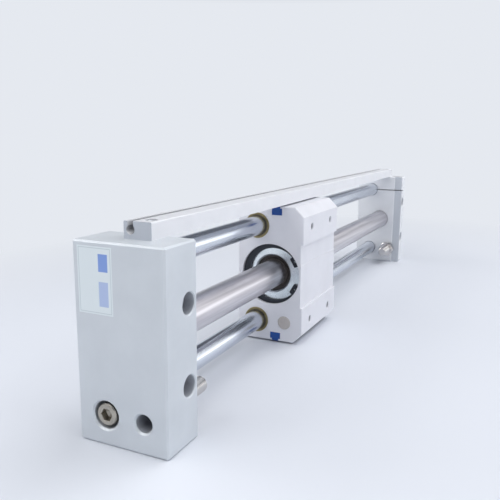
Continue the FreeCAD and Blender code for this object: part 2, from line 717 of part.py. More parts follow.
def make_rail():
    """The extruded rail for position switches, with a keyhole slot open at the top."""
    body = start_body("switch_rail", rail_start)
    sketch = start_sketch(body, "YZ_Plane")
    add_rectangle(sketch, rail_y, f"{rail_y} + {size.rail_width}", size.plate_height, rail_top)
    add_pad(body, sketch, rail_length)
    add_chamfer(body, lambda edge: is_level(edge, 2, rail_top) and edge.Length > value(rail_length) / 2,
                size.rail_edge_break)
    slot_y = f"({rail_y} + {size.rail_web} + {size.sensor_mouth} / 2)"
    slot_z = f"({rail_top} - {size.sensor_depth})"
    half_mouth = f"({size.sensor_mouth} / 2)"
    sketch = start_sketch(body, "YZ_Plane")
    above = f"({rail_top} + {size.rail_height})"
    add_rectangle(sketch, f"{slot_y} - {half_mouth}", f"{slot_y} + {half_mouth}", slot_z, above)
    add_pocket(body, sketch, rail_length, along_normal=True)
    drill(body, "YZ_Plane", "0", [(slot_y, slot_z)], size.sensor_bore, rail_length, along_normal=True)
    screws = [(f"({x} - {rail_start})", rail_web_y) for x in (rail_port_screw_x, rail_clamp_screw_x)]
    shank_hole = f"({size.rail_screw_diameter} + 2 * {size.thread_clearance})"
    head_bore = f"({size.rail_screw_head_diameter} + 2 * {size.thread_clearance})"
    head_sink = f"({size.rail_screw_head_height} + {size.rail_screw_sink})"
    drill(body, "XY_Plane", rail_top, screws, shank_hole, size.rail_height)
    drill(body, "XY_Plane", rail_top, screws, head_bore, head_sink)


# Slide block and what it carries

block_bottom = size.block_clearance
block_top = f"({size.plate_height} - {size.block_clearance})"


def key_outline(y, mouth, inwards, clearance):
    """T-shaped outline of a magnet holder, from its mouth inwards (+1 or -1 along Z)."""
    half_neck = f"({size.key_neck_width} / 2 - {clearance})"
    half_key = f"({size.key_width} / 2 - {clearance})"
    shoulder = f"({mouth} + {inwards} * ({size.key_neck_depth} + {clearance}))"
    floor = f"({mouth} + {inwards} * ({size.key_depth} - {clearance}))"
    right = [(f"{y} + {half_neck}", mouth), (f"{y} + {half_neck}", shoulder),
             (f"{y} + {half_key}", shoulder), (f"{y} + {half_key}", floor)]
    left = [(f"{y} - {half_key}", floor), (f"{y} - {half_key}", shoulder),
            (f"{y} - {half_neck}", shoulder), (f"{y} - {half_neck}", mouth)]
    return right + left


def make_block():
    body = start_body("slide_block", block_start)
    back = f"({load_face} + {block_depth})"
    sketch = start_sketch(body, "YZ_Plane")
    corner_y = f"({load_face} + {size.corner_chamfer})"
    add_polygon(sketch, [
        (corner_y, block_bottom), (back, block_bottom), (back, block_top), (corner_y, block_top),
        (load_face, f"{block_top} - {size.corner_chamfer}"),
        (load_face, f"{block_bottom} + {size.corner_chamfer}"),
    ])
    add_pad(body, sketch, size.block_length)
    add_chamfer(body, lambda edge: is_level(edge, 0, "0") or is_level(edge, 0, size.block_length),
                size.block_edge_break)
    # The shallow two-level band across the load face
    low = f"({mid_height} - {size.band_height} / 2)"
    high = f"({mid_height} + {size.band_height} / 2)"
    sketch = start_sketch(body, "XZ_Plane", f"(-{load_face})")
    add_rectangle(sketch, "0", size.block_length, low, high)
    add_pocket(body, sketch, size.band_depth)
    sketch = start_sketch(body, "XZ_Plane", f"(-{load_face} - {size.band_depth})")
    add_rectangle(sketch, "0", size.block_length, f"{high} - {size.band_step_height}", high)
    add_pocket(body, sketch, size.band_step_depth)
    # Bores for the magnet sleeve and the guide bushes, and grooves for the retaining rings
    middle = [(tube_y, mid_height)]
    through = size.block_length
    drill(body, "YZ_Plane", through, middle, block_bore, through)
    rods = [(rod_y, upper_rod_z), (rod_y, lower_rod_z)]
    drill(body, "YZ_Plane", through, rods, bush_seat, through)
    near_groove = f"({sleeve_start} - {block_start} - {size.washer_thickness})"
    far_groove = f"({sleeve_end} - {block_start} + {size.washer_thickness} + {ring_groove_width})"
    for groove in (near_groove, far_groove):
        drill(body, "YZ_Plane", groove, middle, ring_groove_diameter, ring_groove_width)
    for face in ("0", through):
        break_rims(body, 0, face, [block_bore], size.block_bore_break)
    # Pockets of the stop pads
    pad_bore = f"({size.pad_diameter} + 2 * {size.seat_clearance})"
    drill(body, "YZ_Plane", "0", [(stop_y, stop_z)], pad_bore, size.pad_depth, along_normal=True)
    drill(body, "YZ_Plane", through, [(stop_y, stop_z)], pad_bore, size.pad_depth)
    # T-slots of the magnet holders
    for mouth, inwards in ((block_top, -1), (block_bottom, 1)):
        sketch = start_sketch(body, "YZ_Plane", through)
        add_polygon(sketch, key_outline(key_y, mouth, inwards, "0"))
        add_pocket(body, sketch, through)
    # Tapped holes for the load
    centre_x = f"({size.block_length} / 2)"
    rise = f"(({block_top} - {block_bottom}) / 2 - {size.load_hole_edge})"
    holes = []
    for along in (-1, 1):
        for up in (-1, 1):
            holes.append((f"{centre_x} + {along} * {size.load_hole_pitch} / 2",
                          f"{mid_height} + {up} * {rise}"))
    drill(body, "XZ_Plane", f"(-{load_face})", holes, size.load_hole_diameter, size.load_hole_depth)
    break_rims(body, 1, load_face, [size.load_hole_diameter], size.hole_edge_break)


def make_bushes():
    outer = f"({block_start} - {size.bush_proud})"
    far = f"({block_end} + {size.bush_proud} - {size.bush_length})"
    for end, x in (("port", outer), ("clamp", far)):
        for level, z in (("upper", upper_rod_z), ("lower", lower_rod_z)):
            label = f"{level}_{end}_bush"
            add_ring(label, x, rod_y, z, size.bush_length, bush_bore, bush_diameter)


def make_block_inserts():
    """Stop pads on the end faces, and the holders with the magnets that the switches sense."""
    pad_length = f"({size.pad_proud} + {size.pad_depth})"
    pad_ends = {
        "port_stop_pad": (f"({block_start} - {size.pad_proud})", 0),
        "clamp_stop_pad": (f"({block_end} + {size.pad_proud})", TURN_OVER),
    }
    for label, (x, turn) in pad_ends.items():
        add_pin(label, x, stop_y, stop_z, pad_length, size.pad_diameter, size.pad_edge_break, turn)
    holder_length = f"({size.block_length} - 2 * {size.key_inset})"
    magnet_low = f"(-{size.key_depth} + {size.seat_clearance})"
    magnet_bore = f"({size.switch_magnet_width} / 2 + {size.seat_clearance})"
    half_magnet = f"({size.switch_magnet_length} / 2 + {size.seat_clearance})"
    levels = {"upper": (block_top, 0), "lower": (block_bottom, TURN_OVER)}
    for level, (z, turn) in levels.items():
        body = start_body(level + "_magnet_holder", block_middle, key_y, z, turn)
        sketch = start_sketch(body, "YZ_Plane", f"(-{holder_length} / 2)")
        add_polygon(sketch, key_outline("0", "0", -1, size.seat_clearance))
        add_pad(body, sketch, holder_length)
        sketch = start_sketch(body, "XY_Plane", magnet_low)
        add_rectangle(sketch, f"-{half_magnet}", half_magnet, f"-{magnet_bore}", magnet_bore)
        add_pocket(body, sketch, size.switch_magnet_height, along_normal=True)
        body = start_body(level + "_switch_magnet", block_middle, key_y, z, turn)
        sketch = start_sketch(body, "XY_Plane", magnet_low)
        half_length_x = f"({size.switch_magnet_length} / 2)"
        half_width_y = f"({size.switch_magnet_width} / 2)"
        add_rectangle(sketch, f"-{half_length_x}", half_length_x, f"-{half_width_y}", half_width_y)
        add_pad(body, sketch, f"({size.switch_magnet_height} - {size.seat_clearance})")


def make_slider():
    """The outer magnet stack in its sleeve, with the parts that close both ends of the bore."""
    axis = (tube_y, mid_height)
    add_ring("magnet_sleeve", sleeve_start, *axis, sleeve_length, sleeve_bore, sleeve_diameter)
    first_magnet = f"({stack_start} + {size.yoke_thickness})"
    add_ring_stack("outer_yokes", stack_start, size.yoke_thickness, stack_bore, stack_diameter, YOKE_COUNT)
    add_ring_stack("outer_magnets", first_magnet, magnet_thickness, stack_bore, stack_diameter, MAGNET_COUNT)
    wear_bore = f"({size.tube_outer_diameter} + 2 * {size.running_clearance})"
    carrier_radius = f"({stack_diameter} / 2)"
    # The wear ring and the wiper reach halfway from the tube to the carrier's outside
    halfway = f"(({wear_bore} / 2 + {carrier_radius}) / 2)"
    wear_seat = f"({halfway} - {size.seal_seat_step})"
    wiper_seat = f"({halfway} + {size.seal_seat_step})"
    wear_diameter = f"(2 * ({wear_seat} - {size.seat_clearance}))"
    wiper_radius = f"({wiper_seat} - {size.seat_clearance})"
    wiper_depth = f"({size.carrier_length} - {size.wear_ring_length})"
    washer_bore = f"({size.tube_outer_diameter} / 2 + {size.washer_gap})"
    washer_radius = f"({block_bore} / 2 - {size.seat_clearance})"
    ring_diameter = f"({ring_groove_diameter} - 2 * {size.seat_clearance})"
    ring_back = f"({size.washer_thickness} + {size.ring_play} + {size.ring_thickness})"
    ends = {"port": (sleeve_start, 1, 0), "clamp": (sleeve_end, -1, TURN_OVER)}
    for end, (start, inwards, turn) in ends.items():
        def inside(distance):
            return f"({start} + {inwards} * {distance})"

        add_turning(f"{end}_seal_carrier", start, *axis, [
            ("0", wiper_seat), (wiper_depth, wiper_seat), (wiper_depth, wear_seat),
            (size.carrier_length, wear_seat), (size.carrier_length, carrier_radius), ("0", carrier_radius),
        ], turn)
        add_ring(f"{end}_wear_ring", inside(wiper_depth), *axis, size.wear_ring_length,
                 wear_bore, wear_diameter, turn)
        lip_bore = f"({wear_bore} / 2)"
        lip_back = f"({lip_bore} + {size.wiper_lip_thickness})"
        lip_root = f"({lip_bore} + 2 * {size.wiper_lip_thickness})"
        wiper_length = f"({wiper_depth} - 2 * {size.wiper_play})"
        add_turning(f"{end}_wiper", inside(size.wiper_play), *axis, [
            (f"-{size.wiper_lip}", lip_bore), (wiper_length, lip_back), (wiper_length, wiper_radius),
            ("0", wiper_radius), ("0", lip_root), (f"-{size.wiper_lip}", lip_back),
        ], turn)
        add_turning(f"{end}_end_washer", inside(f"(-{size.washer_thickness})"), *axis, [
            ("0", f"{washer_bore} + {size.washer_bore_break}"), (size.washer_bore_break, washer_bore),
            (size.washer_thickness, washer_bore), (size.washer_thickness, washer_radius),
            ("0", washer_radius),
        ], turn)
        add_retaining_ring(f"{end}_retaining_ring", inside(f"(-{ring_back})"), *axis, ring_diameter, turn)


def make_piston():
    """The piston and the inner magnet stack that the outer one follows through the tube wall."""
    axis = (tube_y, mid_height)
    shaft_bore = f"({size.shaft_diameter} + 2 * {size.seat_clearance})"
    piston_diameter = f"({tube_bore} - 2 * {size.piston_gap})"
    first_magnet = f"({stack_start} + {size.yoke_thickness})"
    add_ring_stack("inner_yokes", stack_start, size.yoke_thickness, shaft_bore, piston_diameter, YOKE_COUNT)
    add_ring_stack("inner_magnets", first_magnet, magnet_thickness, shaft_bore, piston_diameter, MAGNET_COUNT)
    overhang = f"({piston_length} + {size.shaft_nut_height})"
    add_pin("piston_shaft", f"({stack_start} - {overhang})", *axis, f"({stack_length} + 2 * {overhang})",
            size.shaft_diameter, size.shaft_end_break)
    outer = f"({piston_diameter} / 2)"
    bore = f"({shaft_bore} / 2)"
    seal_floor = f"({outer} - {size.piston_seal_depth})"
    ring_floor = f"({outer} - {size.piston_ring_depth})"
    seal_low = size.piston_land
    seal_high = f"({seal_low} + {size.piston_seal_width} + 2 * {size.piston_groove_play})"
    ring_low = f"({seal_high} + {size.piston_land})"
    ring_high = f"({ring_low} + {size.piston_ring_width} + 2 * {size.piston_groove_play})"
    sliding_diameter = f"({tube_bore} - 2 * {size.running_clearance})"
    nut_circle = f"({size.shaft_nut_width} * 2 / sqrt(3))"
    ends = {"port": (stack_start, -1, 0), "clamp": (stack_end, 1, TURN_OVER)}
    for end, (seat, outwards, turn) in ends.items():
        def from_tip(distance):
            return f"({seat} + {outwards} * ({piston_length} - {distance}))"

        add_turning(f"{end}_piston", from_tip("0"), *axis, [
            ("0", bore), (piston_length, bore), (piston_length, outer), (ring_high, outer),
            (ring_high, ring_floor), (ring_low, ring_floor), (ring_low, outer), (seal_high, outer),
            (seal_high, seal_floor), (seal_low, seal_floor), (seal_low, outer), ("0", outer),
        ], turn)
        seal_bore = f"(2 * {seal_floor} + 2 * {size.seat_clearance})"
        ring_bore = f"(2 * {ring_floor} + 2 * {size.seat_clearance})"
        add_ring(f"{end}_piston_seal", from_tip(f"({seal_low} + {size.piston_groove_play})"), *axis,
                 size.piston_seal_width, seal_bore, sliding_diameter, turn)
        add_ring(f"{end}_piston_ring", from_tip(f"({ring_low} + {size.piston_groove_play})"), *axis,
                 size.piston_ring_width, ring_bore, sliding_diameter, turn)
        nut_start = f"({seat} + {outwards} * ({piston_length} + {size.shaft_nut_height}))"
        if outwards > 0:
            nut_start = f"({seat} + {piston_length})"
        add_nut(f"{end}_shaft_nut", nut_start, *axis, size.shaft_nut_height, size.shaft_nut_width, shaft_bore)
        bumper_bore = f"({nut_circle} + 2 * {size.bumper_clearance})"
        add_ring(f"{end}_bumper", from_tip(f"(-{size.bumper_length})"), *axis, size.bumper_length,
                 bumper_bore, size.bumper_diameter, turn)


def check_and_write():
    """Stop on any failed object or bad shape, then write one file for each piece."""
    doc.recompute()
    for item in doc.Objects:
        if "Invalid" in item.State or "Error" in item.State:
            raise RuntimeError(f"{item.Label} failed: {item.State}")
    for piece in parts:
        if piece.Shape.isNull() or not piece.Shape.isValid():
            raise RuntimeError(f"{piece.Label} has no valid shape")
    os.makedirs("parts", exist_ok=True)
    for piece in parts:
        piece.Shape.exportStep(f"parts/{piece.Label}.step")


make_port_plate()
make_clamp_plate()
make_tube()
make_rods()
make_frame_screws()
make_stops()
make_rail()
make_block()
make_bushes()
make_block_inserts()
make_slider()
make_piston()
check_and_write()
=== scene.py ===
import json
import math

import bpy
from mathutils import Matrix, Vector


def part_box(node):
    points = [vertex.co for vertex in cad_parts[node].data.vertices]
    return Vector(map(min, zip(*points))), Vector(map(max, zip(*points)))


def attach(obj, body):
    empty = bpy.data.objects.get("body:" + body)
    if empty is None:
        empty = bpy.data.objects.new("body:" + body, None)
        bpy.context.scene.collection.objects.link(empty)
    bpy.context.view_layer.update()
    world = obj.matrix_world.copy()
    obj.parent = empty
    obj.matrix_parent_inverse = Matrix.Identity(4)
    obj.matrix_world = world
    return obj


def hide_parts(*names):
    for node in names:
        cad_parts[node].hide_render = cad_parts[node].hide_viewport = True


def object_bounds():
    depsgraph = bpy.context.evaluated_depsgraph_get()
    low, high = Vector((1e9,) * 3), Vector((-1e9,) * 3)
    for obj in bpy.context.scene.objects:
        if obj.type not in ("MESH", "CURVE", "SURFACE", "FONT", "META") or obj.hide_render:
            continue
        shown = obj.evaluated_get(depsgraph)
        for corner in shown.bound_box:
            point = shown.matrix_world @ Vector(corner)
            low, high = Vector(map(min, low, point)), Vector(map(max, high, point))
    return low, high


# Looks of the magnetic rodless cylinder: finishes, screw threads, light and the photograph's camera.
# All places are in metres in the model's own frame: +X along the stroke, -Y the load side, +Z up.

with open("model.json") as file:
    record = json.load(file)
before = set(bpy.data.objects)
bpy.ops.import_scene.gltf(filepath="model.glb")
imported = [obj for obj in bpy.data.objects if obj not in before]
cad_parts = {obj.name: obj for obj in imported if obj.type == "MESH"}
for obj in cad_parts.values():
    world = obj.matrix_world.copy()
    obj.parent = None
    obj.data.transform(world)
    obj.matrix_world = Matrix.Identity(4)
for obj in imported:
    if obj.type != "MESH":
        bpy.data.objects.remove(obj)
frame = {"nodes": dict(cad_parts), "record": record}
nodes = frame["nodes"]
cad_low, cad_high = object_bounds()

MM = 0.001
TURN = 2 * math.pi


# Shader helpers

def link(tree, source, target):
    tree.links.new(source, target)


def even(frequency):
    """The same frequency along each axis."""
    return (frequency, frequency, frequency)


def add_noise(tree, coordinates, scale, detail):
    """Noise in object space, with its own frequency along each axis, in waves per metre."""
    mapping = tree.nodes.new("ShaderNodeMapping")
    mapping.inputs["Scale"].default_value = scale
    noise = tree.nodes.new("ShaderNodeTexNoise")
    noise.inputs["Scale"].default_value = 1.0
    noise.inputs["Detail"].default_value = detail
    link(tree, coordinates, mapping.inputs["Vector"])
    link(tree, mapping.outputs["Vector"], noise.inputs["Vector"])
    return noise.outputs["Fac"]


def add_range(tree, source, low, high, from_low=0.3, from_high=0.7):
    """A grey value stretched from one range, by default that of noise, to another, held at the ends."""
    node = tree.nodes.new("ShaderNodeMapRange")
    node.inputs["From Min"].default_value = from_low
    node.inputs["From Max"].default_value = from_high
    node.inputs["To Min"].default_value = low
    node.inputs["To Max"].default_value = high
    link(tree, source, node.inputs["Value"])
    return node.outputs["Result"]


def add_mix(tree, factor, first, second):
    """A colour between two others. Each is a plain colour or another node's output."""
    node = tree.nodes.new("ShaderNodeMix")
    node.data_type = "RGBA"
    link(tree, factor, node.inputs["Factor"])
    for name, colour in (("A", first), ("B", second)):
        socket = next(item for item in node.inputs if item.name == name and item.type == "RGBA")
        if isinstance(colour, tuple):
            socket.default_value = (*colour, 1.0)
        else:
            link(tree, colour, socket)
    return next(item for item in node.outputs if item.type == "RGBA")


def add_math(tree, operation, first, second):
    node = tree.nodes.new("ShaderNodeMath")
    node.operation = operation
    link(tree, first, node.inputs[0])
    link(tree, second, node.inputs[1])
    return node.outputs["Value"]


def add_product(tree, first, second):
    return add_math(tree, "MULTIPLY", first, second)


def add_band(tree, source, low, high, edge):
    """One where a value lies between two limits, and nought outside them."""
    rise = add_range(tree, source, 0.0, 1.0, low, low + edge)
    fall = add_range(tree, source, 1.0, 0.0, high - edge, high)
    return add_product(tree, rise, fall)


def split_axes(tree, vector):
    """The X, Y and Z of a place or a direction."""
    parts = tree.nodes.new("ShaderNodeSeparateXYZ")
    link(tree, vector, parts.inputs["Vector"])
    return parts.outputs


def add_distance(tree, place, scale, shift=(0.0, 0.0, 0.0)):
    """The length of a place that is first scaled along each axis and then shifted."""
    mapping = tree.nodes.new("ShaderNodeMapping")
    mapping.inputs["Location"].default_value = shift
    mapping.inputs["Scale"].default_value = scale
    link(tree, place, mapping.inputs["Vector"])
    length = tree.nodes.new("ShaderNodeVectorMath")
    length.operation = "LENGTH"
    link(tree, mapping.outputs["Vector"], length.inputs[0])
    return length.outputs["Value"]


EDGE_SAMPLES = 4
EDGE_COSINE = 0.80
FLAT_COSINE = 0.99


def add_edge_mask(tree, radius):
    """One at edges and nought on flats: how far a rounded normal leans from the true one."""
    bevel = tree.nodes.new("ShaderNodeBevel")
    bevel.samples = EDGE_SAMPLES
    bevel.inputs["Radius"].default_value = radius
    geometry = tree.nodes.new("ShaderNodeNewGeometry")
    dot = tree.nodes.new("ShaderNodeVectorMath")
    dot.operation = "DOT_PRODUCT"
    link(tree, bevel.outputs["Normal"], dot.inputs[0])
    link(tree, geometry.outputs["Normal"], dot.inputs[1])
    return add_range(tree, dot.outputs["Value"], 1.0, 0.0, EDGE_COSINE, FLAT_COSINE)


SHELTER_SAMPLES = 8
CLOSED = 0.10


def add_recess_shade_mask(tree, reach, openness):
    """Painted shade: one deep in a piece's own holes and slots, and nought where it is open enough."""
    shelter = tree.nodes.new("ShaderNodeAmbientOcclusion")
    shelter.samples = SHELTER_SAMPLES
    shelter.only_local = True
    shelter.inputs["Distance"].default_value = reach
    return add_range(tree, shelter.outputs["AO"], 1.0, 0.0, CLOSED, openness)


# Features that are painted over a finish

LABEL_Y = (2.5 * MM, 20.0 * MM)
LABEL_Z = (57.5 * MM, 86.0 * MM)
LABEL_EDGE = 0.15 * MM
LABEL_BORDER = 0.6 * MM
LABEL_FIELD = 1.5 * LABEL_BORDER
LABEL_BLOCK_Y = (4.6 * MM, 9.4 * MM)
LABEL_UPPER_BLOCK_Z = (75.5 * MM, 83.0 * MM)
LABEL_LOWER_BLOCK_Z = (61.0 * MM, 71.5 * MM)
LABEL_FILM = (0.76, 0.82, 0.84)
LABEL_LINE = (0.58, 0.64, 0.67)
LABEL_BLUE = (0.24, 0.36, 0.72)
LABEL_PALE_BLUE = (0.46, 0.55, 0.78)


def add_label(tree, place, tint):
    """A blank film label with a border and two plain blocks, on the outer face of the port plate."""
    axes = split_axes(tree, place)
    fade_from = cad_low.x + LABEL_EDGE
    outside = add_range(tree, axes["X"], 1.0, 0.0, fade_from, fade_from + LABEL_EDGE)

    def area(across, up, inset=0.0):
        wide = add_band(tree, axes["Y"], across[0] + inset, across[1] - inset, LABEL_EDGE)
        tall = add_band(tree, axes["Z"], up[0] + inset, up[1] - inset, LABEL_EDGE)
        return add_product(tree, outside, add_product(tree, wide, tall))

    tint = add_mix(tree, area(LABEL_Y, LABEL_Z), tint, LABEL_FILM)
    tint = add_mix(tree, area(LABEL_Y, LABEL_Z, LABEL_BORDER), tint, LABEL_LINE)
    tint = add_mix(tree, area(LABEL_Y, LABEL_Z, LABEL_FIELD), tint, LABEL_FILM)
    tint = add_mix(tree, area(LABEL_BLOCK_Y, LABEL_UPPER_BLOCK_Z), tint, LABEL_BLUE)
    return add_mix(tree, area(LABEL_BLOCK_Y, LABEL_LOWER_BLOCK_Z), tint, LABEL_PALE_BLUE)


SAWN_DEPTH = 0.3 * MM
SAWN = (0.52, 0.55, 0.60)


def add_sawn_ends(tree, place, tint):
    """The rail's two cut ends, duller than its drawn sides."""
    low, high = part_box("switch_rail")
    drawn = add_band(tree, split_axes(tree, place)["X"], low.x, high.x, SAWN_DEPTH)
    return add_mix(tree, drawn, SAWN, tint)


RELIEF_WIDTH = 7.8 * MM
RELIEF_DEPTH = 0.8 * MM
RELIEF_EDGE = 0.1 * MM
RELIEF_MARGIN = 0.5 * MM
# A darker colour painted as shade on the floor of the clamp plate's relief.
RELIEF_SHADE = (0.58, 0.61, 0.655)


def add_relief_shade(tree, place, tint):
    """Painted shade: a darker colour on the floor of the relief along the clamp plate's inner face."""
    low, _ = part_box("clamp_end_plate")
    axes = split_axes(tree, place)
    near = low.y + RELIEF_MARGIN
    far = low.y + RELIEF_WIDTH - RELIEF_MARGIN
    wide = add_band(tree, axes["Y"], near, far, RELIEF_EDGE)
    floor = low.x + RELIEF_DEPTH
    deep = add_band(tree, axes["X"], floor - RELIEF_EDGE, floor + 2 * RELIEF_EDGE, RELIEF_EDGE)
    return add_mix(tree, add_product(tree, wide, deep), tint, RELIEF_SHADE)


ROD_RADIUS = 6 * MM
INNER_DARK_SHARE = 0.42
INNER_DARK_BLUR = 0.2
BUSH_INNER_DARK = (0.095, 0.083, 0.064)
ACROSS_X = (0.0, 1.0, 1.0)


def add_bush_inner_ring(node_name):
    """Makes an overlay that darkens the inner part of a bush's end face, next to the rod."""
    low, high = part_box(node_name)
    middle = (low + high) / 2
    wall = (high.y - low.y) / 2 - ROD_RADIUS
    edge = wall * INNER_DARK_BLUR
    limit = ROD_RADIUS + wall * INNER_DARK_SHARE

    def paint(tree, place, tint):
        from_axis = add_distance(tree, place, ACROSS_X, (0.0, -middle.y, -middle.z))
        near = add_range(tree, from_axis, 1.0, 0.0, limit - edge, limit + edge)
        return add_mix(tree, near, tint, BUSH_INNER_DARK)

    return paint


# Finishes

CLOUD_DETAIL = 3.0
GRAIN_DETAIL = 2.0


def make_finish(name, colour, shade, roughness, spread, grain, bump, metallic=1.0, cloud=even(70),
                wear_and_highlight=None, wear_and_highlight_radius=0.35 * MM, recess_shade=None, recess_reach=6 * MM, openness=0.42,
                overlay=None):
    """A finish with clouded colour and fine grain in gloss and relief.

    grain is the fine grain's frequency along each axis and bump its height in metres. Edges may get a
    lighter colour, partly wear and partly a painted highlight; holes and slots a darker one as painted
    shade; and overlay may paint over the colour.
    """
    material = bpy.data.materials.new(name)
    material.use_nodes = True
    tree = material.node_tree
    shader = tree.nodes["Principled BSDF"]
    shader.inputs["Metallic"].default_value = metallic
    place = tree.nodes.new("ShaderNodeTexCoord").outputs["Object"]
    broad = add_noise(tree, place, cloud, CLOUD_DETAIL)
    fine = add_noise(tree, place, grain, GRAIN_DETAIL)
    tint = add_mix(tree, add_range(tree, broad, 0.0, 1.0), colour, shade)
    # Edges take a lighter colour: partly wear, partly a painted highlight along them.
    if wear_and_highlight:
        tint = add_mix(tree, add_edge_mask(tree, wear_and_highlight_radius), tint, wear_and_highlight)
    # Holes and slots take a darker colour: painted shade where the piece's own surfaces close round them.
    if recess_shade:
        tint = add_mix(tree, add_recess_shade_mask(tree, recess_reach, openness), tint, recess_shade)
    if overlay:
        tint = overlay(tree, place, tint)
    link(tree, tint, shader.inputs["Base Color"])
    gloss = add_range(tree, fine, roughness - spread, roughness + spread)
    link(tree, gloss, shader.inputs["Roughness"])
    relief = tree.nodes.new("ShaderNodeBump")
    relief.inputs["Strength"].default_value = 1.0
    relief.inputs["Distance"].default_value = bump
    link(tree, fine, relief.inputs["Height"])
    link(tree, relief.outputs["Normal"], shader.inputs["Normal"])
    return material


# Grains that several finishes share, in waves per metre along each axis
BLASTED = even(5200)
MOULDED = even(1500)
SCREW_GRAIN = even(2600)
DRAWN_ALONG_X = (45, 3600, 3600)
GROUND_ROUND_X = (9000, 90, 90)

# Finishes by material slot
# Each finish's lighter edge colour is partly wear and partly a painted highlight; its darker colour for
# holes and slots is painted shade.
FINISHES = {
    "block_anodised": dict(
        colour=(0.775, 0.778, 0.82), shade=(0.735, 0.738, 0.78), roughness=0.46, spread=0.05,
        grain=BLASTED, bump=0.003 * MM, metallic=0.2, wear_and_highlight=(0.90, 0.905, 0.93),
        recess_shade=(0.08, 0.085, 0.10)),
    "rail_anodised": dict(
        colour=(0.82, 0.825, 0.85), shade=(0.78, 0.785, 0.81), roughness=0.42, spread=0.05,
        grain=DRAWN_ALONG_X, bump=0.002 * MM, metallic=0.3, wear_and_highlight=(0.85, 0.86, 0.90),
        recess_shade=(0.10, 0.105, 0.12), openness=0.65, overlay=add_sawn_ends),
    "tube_stainless": dict(
        colour=(0.70, 0.68, 0.71), shade=(0.50, 0.48, 0.51), roughness=0.33, spread=0.03,
        grain=DRAWN_ALONG_X, bump=0.00015 * MM, cloud=(10, 620, 620)),
    "rod_chrome": dict(
        colour=(0.70, 0.735, 0.80), shade=(0.65, 0.69, 0.76), roughness=0.23, spread=0.02,
        grain=GROUND_ROUND_X, bump=0.0002 * MM),
    "washer_zinc": dict(
        colour=(0.82, 0.88, 0.91), shade=(0.74, 0.80, 0.84), roughness=0.28, spread=0.06,
        grain=(900, 3000, 3000), bump=0.002 * MM, cloud=even(150)),
    "ring_black": dict(
        colour=(0.010, 0.014, 0.022), shade=(0.018, 0.022, 0.032), roughness=0.40, spread=0.08,
        grain=even(3000), bump=0.003 * MM, metallic=0.2, cloud=even(300),
        wear_and_highlight=(0.06, 0.07, 0.09), wear_and_highlight_radius=0.15 * MM),
    "screw_black": dict(
        colour=(0.49, 0.46, 0.405), shade=(0.40, 0.375, 0.33), roughness=0.36, spread=0.08,
        grain=SCREW_GRAIN, bump=0.003 * MM, cloud=even(300),
        wear_and_highlight=(0.62, 0.60, 0.56), wear_and_highlight_radius=0.2 * MM, recess_shade=(0.03, 0.03, 0.03), recess_reach=4 * MM),
    "screw_zinc": dict(
        colour=(0.74, 0.76, 0.80), shade=(0.66, 0.68, 0.72), roughness=0.34, spread=0.07,
        grain=SCREW_GRAIN, bump=0.003 * MM, cloud=even(300),
        wear_and_highlight=(0.82, 0.83, 0.86), wear_and_highlight_radius=0.2 * MM, recess_shade=(0.12, 0.12, 0.13), recess_reach=2 * MM),
    "stop_steel": dict(
        colour=(0.68, 0.66, 0.65), shade=(0.58, 0.56, 0.55), roughness=0.14, spread=0.04,
        grain=even(2200), bump=0.003 * MM, cloud=even(260),
        wear_and_highlight=(0.78, 0.76, 0.74), wear_and_highlight_radius=0.2 * MM, recess_shade=(0.08, 0.075, 0.07), recess_reach=2 * MM),
    "pad_urethane": dict(
        colour=(0.51, 0.48, 0.465), shade=(0.45, 0.42, 0.405), roughness=0.62, spread=0.08,
        grain=MOULDED, bump=0.006 * MM, metallic=0.0, cloud=even(300)),
    "holder_blue": dict(
        colour=(0.004, 0.072, 0.335), shade=(0.003, 0.058, 0.275), roughness=0.42, spread=0.06,
        grain=MOULDED, bump=0.004 * MM, metallic=0.0, cloud=even(250),
        wear_and_highlight=(0.04, 0.13, 0.44), wear_and_highlight_radius=0.2 * MM),
    "magnet_nickel": dict(
        colour=(0.62, 0.61, 0.60), shade=(0.55, 0.54, 0.53), roughness=0.22, spread=0.05,
        grain=even(1800), bump=0.002 * MM),
    "yoke_steel": dict(
        colour=(0.45, 0.45, 0.46), shade=(0.38, 0.38, 0.39), roughness=0.34, spread=0.06,
        grain=GROUND_ROUND_X, bump=0.001 * MM),
    "piston_aluminium": dict(
        colour=(0.66, 0.67, 0.69), shade=(0.60, 0.61, 0.63), roughness=0.34, spread=0.05,
        grain=GROUND_ROUND_X, bump=0.001 * MM),
    "wear_ring_resin": dict(
        colour=(0.20, 0.17, 0.13), shade=(0.15, 0.13, 0.10), roughness=0.55, spread=0.08,
        grain=MOULDED, bump=0.006 * MM, metallic=0.0),
    "seal_rubber": dict(
        colour=(0.050, 0.042, 0.039), shade=(0.065, 0.055, 0.051), roughness=0.48, spread=0.10,
        grain=MOULDED, bump=0.008 * MM, metallic=0.0),
}
materials = {name: make_finish(name, **values) for name, values in FINISHES.items()}

# Nodes whose finish follows their own features
# The plates' and bushes' lighter edge colours are partly wear and partly a painted highlight; the plates'
# darker hole colour is painted shade.
PLATE = dict(
    colour=(0.655, 0.69, 0.725), shade=(0.615, 0.65, 0.685), roughness=0.46, spread=0.05,
    grain=BLASTED, bump=0.003 * MM, metallic=0.3, wear_and_highlight=(0.74, 0.765, 0.81),
    recess_shade=(0.30, 0.305, 0.345), recess_reach=14 * MM, openness=0.5)
